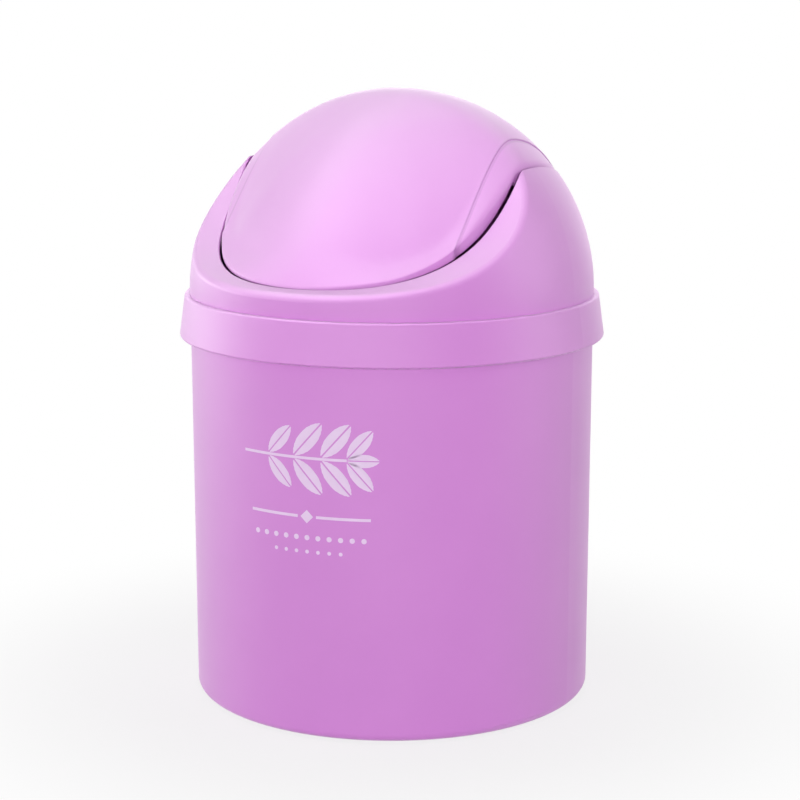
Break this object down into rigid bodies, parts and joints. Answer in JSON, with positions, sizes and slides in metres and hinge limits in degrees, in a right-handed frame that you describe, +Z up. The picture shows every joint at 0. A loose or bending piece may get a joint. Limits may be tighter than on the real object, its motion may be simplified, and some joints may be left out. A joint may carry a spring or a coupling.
{
  "type": "desktop bin",
  "caption": "Small round desktop bin: a straight-sided bucket, a domed lift-off lid collar with raised ears, and a push flap that swings freely between the ears.",
  "frame": {"origin": "the middle of the face that the bucket stands on", "axes": "+Z is up, the flap's push face looks to -Y, and the flap's hinge axis is parallel to X"},
  "size_m": [0.125, 0.125, 0.1783],
  "materials": {
    "bucket_plastic": "satin lilac, coloured through",
    "lid_plastic": "satin lilac, coloured through",
    "flap_plastic": "satin lilac, coloured through"
  },
  "bodies": {
    "bucket": {"bucket": "bucket_plastic"},
    "lid": {"lid_collar": "lid_plastic"},
    "flap": {"swing_flap": "flap_plastic"}
  },
  "joints": [
    {"name": "lid_lift", "type": "slide", "parent": "bucket", "child": "lid", "axis": [0, 0, 1], "range_m": [0, 0.06]},
    {"name": "flap_swing", "type": "hinge", "parent": "lid", "child": "flap", "pos_m": [0, 0, 0.1552], "axis": [1, 0, 0], "range_deg": [-75, 75]}
  ]
}
